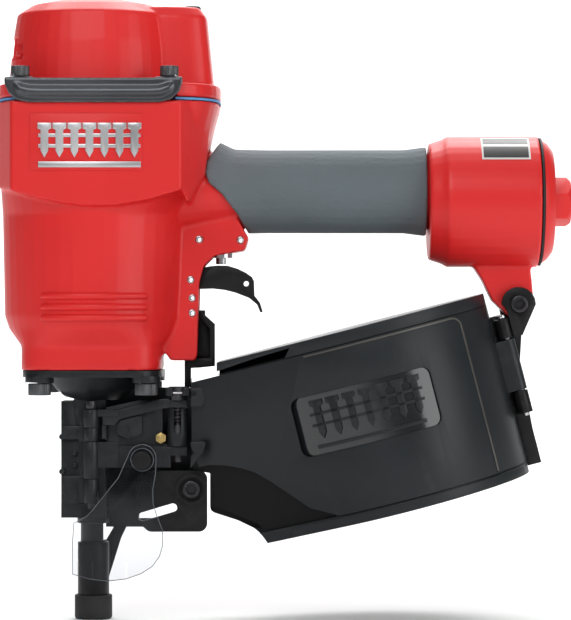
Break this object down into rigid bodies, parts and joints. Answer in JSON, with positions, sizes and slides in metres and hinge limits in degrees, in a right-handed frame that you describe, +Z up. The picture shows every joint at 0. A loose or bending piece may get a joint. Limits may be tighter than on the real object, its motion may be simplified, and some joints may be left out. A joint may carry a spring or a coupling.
{
  "type": "coil nailer",
  "caption": "Pneumatic coil nailer: red barrel and lid, rubber-gripped handle with air inlet, trigger, slotted nose with hinged feed door, sprung work contact and tilted drum canister.",
  "frame": {"origin": "middle of the bounding box's bottom face, at the height of the nose tip's contact face", "axes": "+X to the rear of the handle, +Y to the side without the badge, +Z up along the drive line"},
  "size_m": [0.29, 0.1308, 0.315],
  "materials": {
    "red_coat": "satin powder coat",
    "grip_rubber": "soft grained rubber",
    "black_plastic": "moulded satin black",
    "black_oxide": "black oxide steel",
    "dark_steel": "dark phosphate steel",
    "bright_steel": "bright steel",
    "blue_gasket": "fibre gasket",
    "aluminium": "machined",
    "black_rubber": "matte rubber",
    "clear_plastic": "clear flexible sheet",
    "silver_badge": "brushed silver"
  },
  "bodies": {
    "tool_body": {"main_housing": "red_coat", "top_cap": "red_coat", "end_cap": "red_coat", "handle_grip": "grip_rubber", "cap_gasket": "blue_gasket", "cap_plug": "dark_steel", "cap_screw_1": "dark_steel", "cap_screw_2": "dark_steel", "cap_screw_3": "dark_steel", "cap_screw_4": "dark_steel", "wear_guard_near": "dark_steel", "wear_guard_far": "dark_steel", "nose_bolt_1": "dark_steel", "nose_bolt_2": "dark_steel", "nose_bolt_3": "dark_steel", "nose_bolt_4": "dark_steel", "door_hinge_pin": "dark_steel", "bracket_bolt": "dark_steel", "arm_bolt": "dark_steel", "cylinder_sleeve": "aluminium", "trigger_valve_body": "aluminium", "bumper": "black_rubber", "end_cap_seal": "black_rubber", "head_valve_spring": "bright_steel", "trigger_pin": "bright_steel", "valve_pin_1": "bright_steel", "valve_pin_2": "bright_steel", "guide_pin_1": "bright_steel", "guide_pin_2": "bright_steel", "valve_spring": "bright_steel", "latch_spring": "bright_steel", "feed_spring": "bright_steel", "contact_spring": "bright_steel", "cover_hinge_pin": "bright_steel", "nose_body": "black_oxide", "feed_cylinder": "black_oxide", "magazine_bracket": "black_oxide", "magazine_arm": "black_oxide", "canister_shell": "black_plastic", "platform_post": "black_plastic", "badge": "silver_badge"},
    "trigger": {"trigger": "black_oxide"},
    "valve_stem": {"valve_stem": "bright_steel"},
    "piston": {"piston": "aluminium", "driver_blade": "dark_steel"},
    "head_valve": {"head_valve": "black_rubber"},
    "door": {"feed_door": "black_oxide", "nail_shield": "clear_plastic", "shield_button": "black_oxide"},
    "latch": {"door_latch": "dark_steel"},
    "feeder": {"feed_piston": "bright_steel", "feed_pawl": "dark_steel"},
    "contact": {"work_contact": "black_oxide", "safety_linkage": "black_oxide", "nose_tip_cap": "black_rubber"},
    "cover": {"canister_cover": "black_plastic"},
    "platform": {"nail_platform": "black_plastic"}
  },
  "joints": [
    {"name": "trigger_pull", "type": "hinge", "parent": "tool_body", "child": "trigger", "pos_m": [-0.0479, 0, 0.1724], "axis": [0, -1, 0], "range_deg": [0, 8], "stiffness_Nm_per_rad": 0.5, "springref_deg": -8.02},
    {"name": "valve_stem_push", "type": "slide", "parent": "tool_body", "child": "valve_stem", "axis": [0, 0, 1], "range_m": [0, 0.0022], "deforming": ["valve_spring"]},
    {"name": "piston_stroke", "type": "slide", "parent": "tool_body", "child": "piston", "axis": [0, 0, -1], "range_m": [0, 0.096]},
    {"name": "head_valve_lift", "type": "slide", "parent": "tool_body", "child": "head_valve", "axis": [0, 0, 1], "range_m": [0, 0.0035], "stiffness_N_per_m": 1500, "springref_m": -0.004, "deforming": ["head_valve_spring"]},
    {"name": "door_swing", "type": "hinge", "parent": "tool_body", "child": "door", "pos_m": [-0.0979, -0.019, 0.09], "axis": [0, 0, -1], "range_deg": [0, 95]},
    {"name": "latch_lift", "type": "slide", "parent": "door", "child": "latch", "axis": [0, 0, 1], "range_m": [0, 0.005], "stiffness_N_per_m": 300, "springref_m": -0.004, "deforming": ["latch_spring"]},
    {"name": "nail_feed", "type": "slide", "parent": "tool_body", "child": "feeder", "axis": [1, 0, 0], "range_m": [0, 0.0085], "stiffness_N_per_m": 400, "springref_m": -0.004},
    {"name": "work_contact_press", "type": "slide", "parent": "tool_body", "child": "contact", "axis": [0, 0, 1], "range_m": [0, 0.009], "stiffness_N_per_m": 400, "springref_m": -0.006, "deforming": ["contact_spring"]},
    {"name": "cover_swing", "type": "hinge", "parent": "tool_body", "child": "cover", "pos_m": [0.11815, -0.008, 0.11962], "axis": [-0.2504, 0, 0.9681], "range_deg": [0, 80]},
    {"name": "platform_height", "type": "slide", "parent": "tool_body", "child": "platform", "axis": [-0.2504, 0, 0.9681], "range_m": [-0.008, 0.03]}
  ],
  "couplings": [
    {"joint": "valve_stem_push", "follows": "trigger_pull", "m_per_rad": 0.0155}
  ]
}
